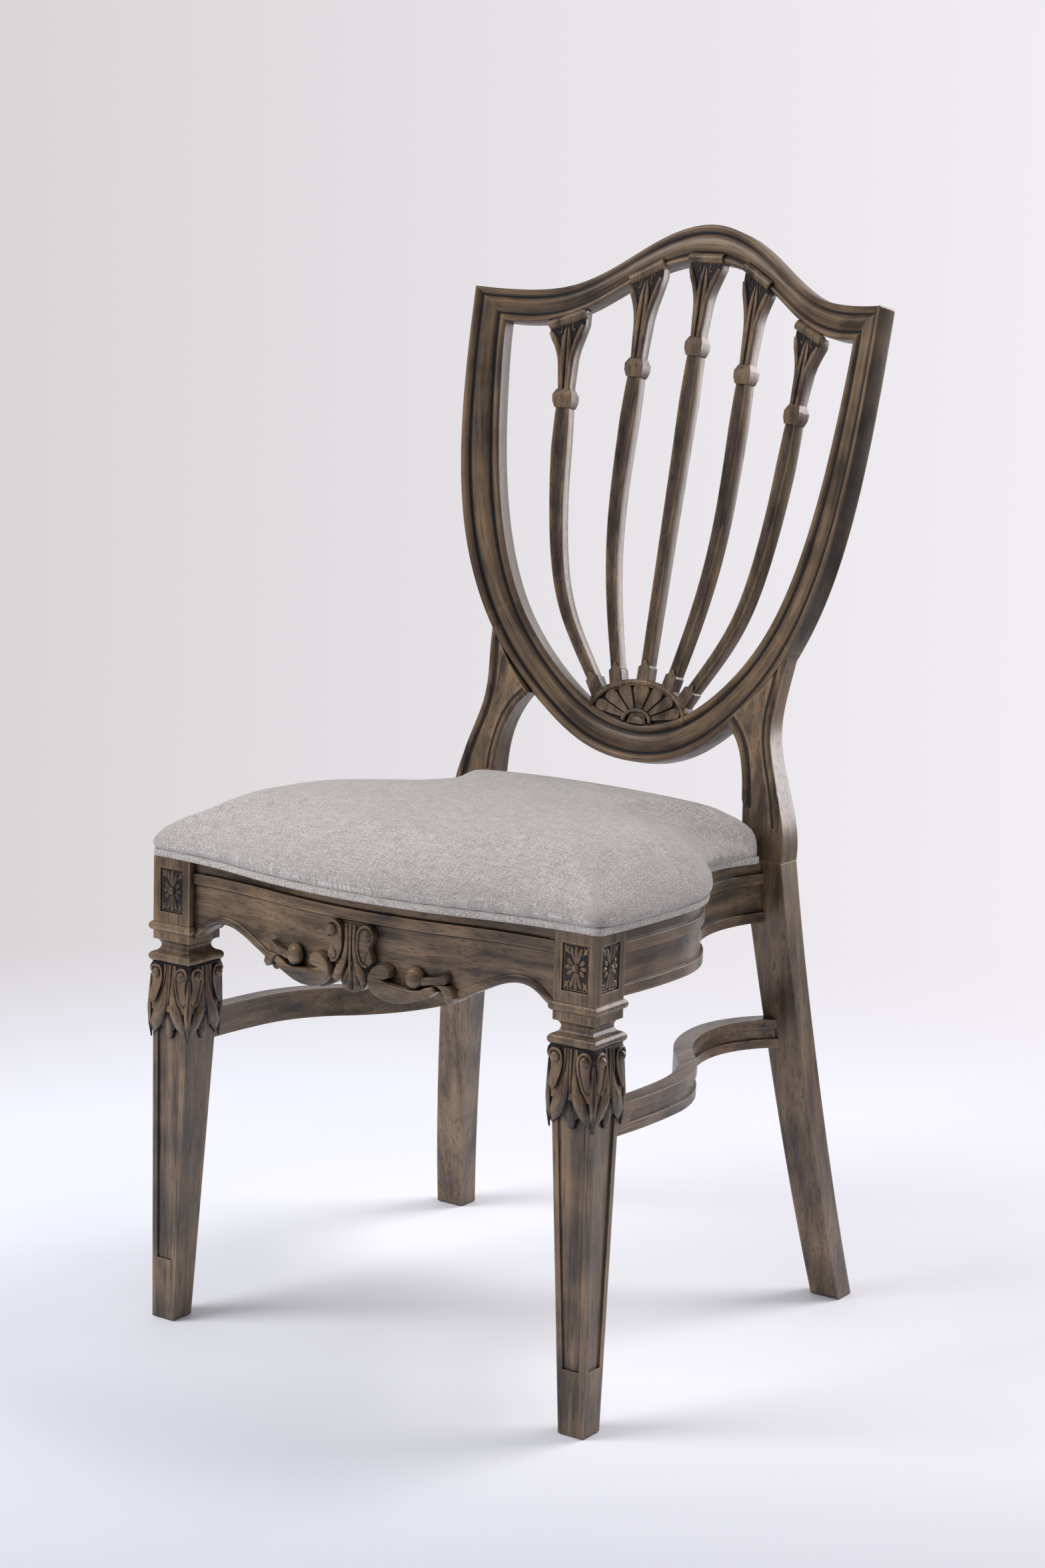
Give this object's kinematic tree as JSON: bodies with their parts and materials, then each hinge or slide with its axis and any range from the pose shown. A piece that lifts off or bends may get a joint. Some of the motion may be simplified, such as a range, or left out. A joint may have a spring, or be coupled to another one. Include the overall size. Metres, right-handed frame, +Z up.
{
  "type": "shield-back dining chair",
  "caption": "Carved wooden dining chair with a dished shield back, balusters over a fan, a scalloped apron, S-curved side rails and stretchers, and an upholstered seat.",
  "frame": {"origin": "on the floor, under the middle of the chair's bounding box", "axes": "+Z up, the sitter faces -Y, +X to the right as seen from the front"},
  "size_m": [0.485, 0.5777, 0.9999],
  "materials": {
    "stained_wood": "open-grained wood, brown stain with a blue-black glaze in the grooves and worn tan edges",
    "pale_wood": "plain unfinished beech",
    "plywood": "plain birch plywood",
    "cover_fabric": "matt grey-beige plain weave",
    "foam": "open-cell foam",
    "lining": "black lining cloth",
    "steel": "zinc-plated screws",
    "glide_plastic": "dark nylon"
  },
  "bodies": {
    "root": {"back_post_left": "stained_wood", "back_post_right": "stained_wood", "block_screws": "steel", "centre_baluster": "stained_wood", "crest_rail": "stained_wood", "dust_cover": "lining", "fan_rosette": "stained_wood", "foot_glides": "glide_plastic", "front_apron": "stained_wood", "front_corner_block_left": "pale_wood", "front_corner_block_right": "pale_wood", "front_leg_left": "stained_wood", "front_leg_right": "stained_wood", "inner_baluster_left": "stained_wood", "inner_baluster_right": "stained_wood", "outer_baluster_left": "stained_wood", "outer_baluster_right": "stained_wood", "post_dowels": "pale_wood", "rail_dowels": "pale_wood", "rear_corner_block_left": "pale_wood", "rear_corner_block_right": "pale_wood", "rear_leg_left": "stained_wood", "rear_leg_right": "stained_wood", "rear_rail": "stained_wood", "seat_board": "plywood", "seat_cover": "cover_fabric", "seat_foam": "foam", "seat_screws": "steel", "seat_welt": "cover_fabric", "shield_base_rail": "stained_wood", "shield_dowels": "pale_wood", "shield_stile_left": "stained_wood", "shield_stile_right": "stained_wood", "side_rail_left": "stained_wood", "side_rail_right": "stained_wood", "stretcher_dowels": "pale_wood", "stretcher_left": "stained_wood", "stretcher_right": "stained_wood"}
  },
  "joints": []
}
